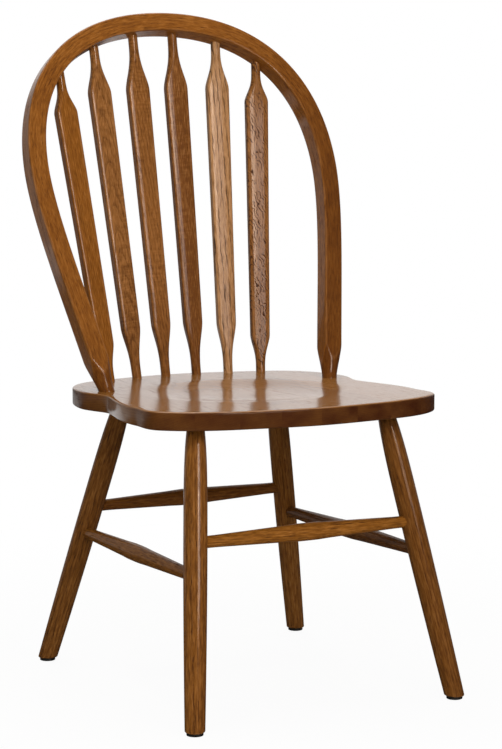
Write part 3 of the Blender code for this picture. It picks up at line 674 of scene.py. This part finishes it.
# Stretchers: turned, thin straight ends that swell to a short barrel in the middle
stretcherShape = {
    "runs": {"front": ("front_left", "front_right"), "back": ("back_left", "back_right"),
             "left": ("front_left", "back_left"), "right": ("front_right", "back_right")},
    "heights": {"front": (0.2572, 0.2588), "back": (0.2510, 0.2556),
                "left": (0.2115, 0.2098), "right": (0.2148, 0.2148)},
    "endRadius": 0.0088, "middleRadius": 0.0131, "middleLength": 0.034, "straightEnd": 0.030,
    "knee": (0.85, 0.765),      # most of the way to the barrel, less of the swell
    "around": 48, "rows": 150, "softRows": 7, "grainStep": 1.9,
}
stretcherPlain = {"coat": 0.3, "streak": (440.0, 46.0)}
stretcherLooks = {
    "front": {"dark": (0.118, 0.041, 0.006), "mid": (0.208, 0.077, 0.010), "light": (0.31, 0.127, 0.025),
              "pores": 0.8},
    "back": {"dark": (0.060, 0.021, 0.005), "mid": (0.117, 0.040, 0.006), "light": (0.175, 0.070, 0.014)},
    "left": {"dark": (0.080, 0.028, 0.005), "mid": (0.158, 0.056, 0.007), "light": (0.235, 0.094, 0.017)},
    "right": {"dark": (0.047, 0.016, 0.004), "mid": (0.092, 0.031, 0.005), "light": (0.140, 0.056, 0.012)},
}


# radius: straight lines from the end over the knee to the barrel, softened by a running mean
def makeStretcher(side, material, seed):
    s = stretcherShape
    ends = []
    for corner, rise in zip(s["runs"][side], s["heights"][side]):
        foot, top = legAxis(*corners[corner])
        ends.append(between(foot, top, rise / top[2]))
    start, end = ends
    length = np.linalg.norm(end - start)
    height = np.linspace(0.0, length, s["rows"])
    fromEnd = np.minimum(height, length - height)
    straight, middle = s["straightEnd"], (length - s["middleLength"]) / 2
    kneeAt, kneeSwell = s["knee"]
    marks = [0.0, straight, between(straight, middle, kneeAt), middle]
    swell = np.interp(fromEnd, marks, [0.0, 0.0, kneeSwell, 1.0])
    radius = between(s["endRadius"], s["middleRadius"], swell)
    window = s["softRows"]
    soft = np.convolve(np.pad(radius, window // 2, mode="edge"), np.ones(window) / window, mode="valid")
    radius = np.broadcast_to(soft[:, None], (s["rows"], s["around"]))
    rings, local = turnedRings(start, end - start, axisZ, radius, height[:, None])
    grain = local + axisZ * s["grainStep"] * seed
    skin("turned_stretcher_" + side, "stretcher_" + side, material,
         rings, grain, np.zeros(local.shape[:2]))


for seed, side in enumerate(stretcherShape["runs"], 1):
    makeStretcher(side, oakFinish("stretcher_oak_" + side, **stretcherPlain, **stretcherLooks[side]), seed)
nailSteel = steelFinish("nail_steel")
for corner in corners:
    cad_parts["glide_nail_" + corner].data.materials.clear()
    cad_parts["glide_nail_" + corner].data.materials.append(nailSteel)
print("legs, stretchers, glides and nails made")


# Studio: floor and world, white to the camera and dim to most reflections, and soft boxes round the chair
studio = {
    "floorSize": 40.0, "floorTone": (0.60, 0.60, 0.60), "floorRough": 0.9,
    "floorGlow": (0.95, 1.0), "floorReach": (0.35, 1.3), "floorMirror": 0.06,
    "worldLight": 0.16, "darkSide": 0.04,
    "sheetSide": (-0.25, 0.15), "sheetDepth": (-0.15, 0.45), "wing": 0.50, "wingDepth": (0.60, 0.80),
    "patches": (      # across, behind, strength: white paper that reflections find on the floor
        ((-1.2, 1.9), (1.2, 4.6), 1.0), ((-2.2, -0.8), (2.2, 3.6), 1.0), ((-19.0, -0.8), (2.4, 19.0), 0.50),
    ),
    "patchEdge": 0.5, "white": (1.0, 1.0, 1.0), "warm": (1.0, 0.81, 0.66),
    "boxes": (      # name, place, aim, size, watts, tone, seen in reflections
        ("front_box", (-1.3, -3.0, 2.5), (0.0, 0.0, 0.5), (1.5, 1.3), 59.0, "white", False),
        ("middle_high_box", (0.12, -3.1, 1.75), (0.0, 0.2, 0.75), (0.7, 0.60), 24.0, "warm", True),
        ("middle_low_box", (0.12, -3.1, 1.22), (0.0, 0.2, 0.75), (0.7, 0.46), 9.0, "warm", True),
        ("right_box", (0.72, -3.0, 1.40), (0.0, 0.2, 0.75), (0.52, 0.9), 8.0, "white", True),
        ("left_box", (-2.17, -1.49, 0.92), (0.0, 0.2, 0.75), (0.9, 0.60), 11.0, "white", False),
        ("rear_box", (1.2, 3.4, 2.2), (0.0, 0.0, 0.5), (1.6, 1.4), 45.0, "white", False),
        ("edge_box", (1.15, -0.05, 3.2), (0.0, -0.2, 0.45), (0.6, 0.8), 8.0, "white", True),
        ("top_box", (-0.1, 0.4, 3.2), (0.0, 0.0, 0.4), (2.0, 2.0), 55.0, "white", True),
    ),
}


# a lamp at one point that looks at another, with or without a mirror image of its own
def softBox(name, spot, target, size, watts, tone, mirrored):
    lamp = bpy.data.lights.new(name, "AREA")
    lamp.shape = "RECTANGLE"
    lamp.size, lamp.size_y = size
    lamp.energy = watts
    lamp.color = studio[tone]
    item = bpy.data.objects.new(name, lamp)
    item.location = spot
    item.visible_glossy = mirrored
    z = np.array(spot) - np.array(target)
    item.rotation_euler = (math.acos(z[2] / np.linalg.norm(z)), 0.0, math.atan2(z[1], z[0]) + quarterTurn)
    bpy.context.collection.objects.link(item)


# whether a ray comes from the camera, off a glossy surface or through a clear one
def rays(start):
    path = start.node("ShaderNodeLightPath").socket.node
    kinds = ("Is Camera Ray", "Is Glossy Ray", "Is Transmission Ray")
    return [Flow(start.tree, path.outputs[kind]) for kind in kinds]


# what a reflection finds in a direction: the white sheet behind the chair, its greyer wing to the left
# of that, and a dim room elsewhere
def backdrop(aim):
    side, depth = aim.axes()[:2]
    sheet = side.step(*studio["sheetSide"]) * depth.step(*studio["sheetDepth"])
    wing = depth.step(*studio["wingDepth"]) * studio["wing"]
    return sheet.most(wing, studio["darkSide"])


# floor: glows white for the camera, a little less near the chair so that the shadow stays; in reflections it
# is the dimmed backdrop, or a patch of paper where that is brighter
def makeFloor():
    size = studio["floorSize"] / 2
    mesh = bpy.data.meshes.new("studio_floor")
    square = [(-size, -size, 0.0), (size, -size, 0.0), (size, size, 0.0), (-size, size, 0.0)]
    mesh.from_pydata(square, [], [(0, 1, 2, 3)])
    floor = bpy.data.objects.new("studio_floor", mesh)
    bpy.context.collection.objects.link(floor)
    matt = {"Base Color": (*studio["floorTone"], 1.0), "Roughness": studio["floorRough"],
            "Specular IOR Level": 0.0}
    material, shader, start = newFinish("studio_white", matt)
    tree = material.node_tree
    camera, glossy, clear = rays(start)
    spot = start.node("ShaderNodeTexCoord", out="Object")
    away = spot.node("ShaderNodeVectorMath", {"operation": "LENGTH"}, {0: spot}, out="Value")
    near, far = studio["floorGlow"]
    seen = camera * (near + away.step(*studio["floorReach"]) * (far - near))
    aim = spot.node("ShaderNodeVectorMath", {"operation": "NORMALIZE"}, {0: spot})
    mirror = backdrop(aim) * studio["floorMirror"]
    across, behind = spot.axes()[:2]
    soft = studio["patchEdge"]
    for (left, right), (front, back), strength in studio["patches"]:
        paper = across.step(left, left + soft) * across.step(right, right - soft)
        paper = paper * behind.step(front, front + soft) * behind.step(back, back - soft)
        mirror = mirror.most(paper * strength)
    glow = start.node("ShaderNodeEmission", None, {"Color": camera.most(mirror)})
    mixed = start.node("ShaderNodeMixShader", None,
                       {0: seen.most(glossy, clear), 1: Flow(tree, shader.outputs[0]), 2: glow})
    tree.links.new(mixed.socket, tree.nodes["Material Output"].inputs["Surface"])
    mesh.materials.append(material)


# world: white for the camera, the backdrop in reflections, a weak even light for the rest
def makeWorld():
    world = bpy.data.worlds.new("studio_world")
    bpy.context.scene.world = world
    world.use_nodes = True
    start = Flow(world.node_tree, None)
    camera, glossy, clear = rays(start)
    aim = start.node("ShaderNodeTexCoord", out="Generated")
    mirror = glossy.most(clear) * backdrop(aim)
    light = studio["worldLight"] * (1.0 - camera.most(glossy))
    background = world.node_tree.nodes["Background"]
    background.inputs["Strength"].default_value = 1.0
    world.node_tree.links.new(camera.most(mirror, light).socket, background.inputs["Color"])


makeFloor()
makeWorld()
for box in studio["boxes"]:
    softBox(*box)
view = {"spot": (-1.566, -3.00443, 0.851), "yaw": -28.02, "pitch": 6.59, "sensor": 36.0,
        "focal": 2243.0, "middle": (259.0, 378.9), "image": (502, 749)}      # the last three in pixels
wide, tall = view["image"]
lens = bpy.data.cameras.new("photo_camera")
lens.sensor_width = view["sensor"]
lens.lens = view["focal"] * view["sensor"] / tall
lens.shift_x = (wide / 2 - view["middle"][0]) / tall
lens.shift_y = (view["middle"][1] - tall / 2) / tall
camera = bpy.data.objects.new("photo_camera", lens)
camera.location = view["spot"]
camera.rotation_euler = (math.radians(90.0 - view["pitch"]), 0.0, math.radians(view["yaw"]))
bpy.context.collection.objects.link(camera)
bpy.context.scene.camera = camera
bpy.context.scene.view_settings.view_transform = "Standard"
print("studio and camera made")
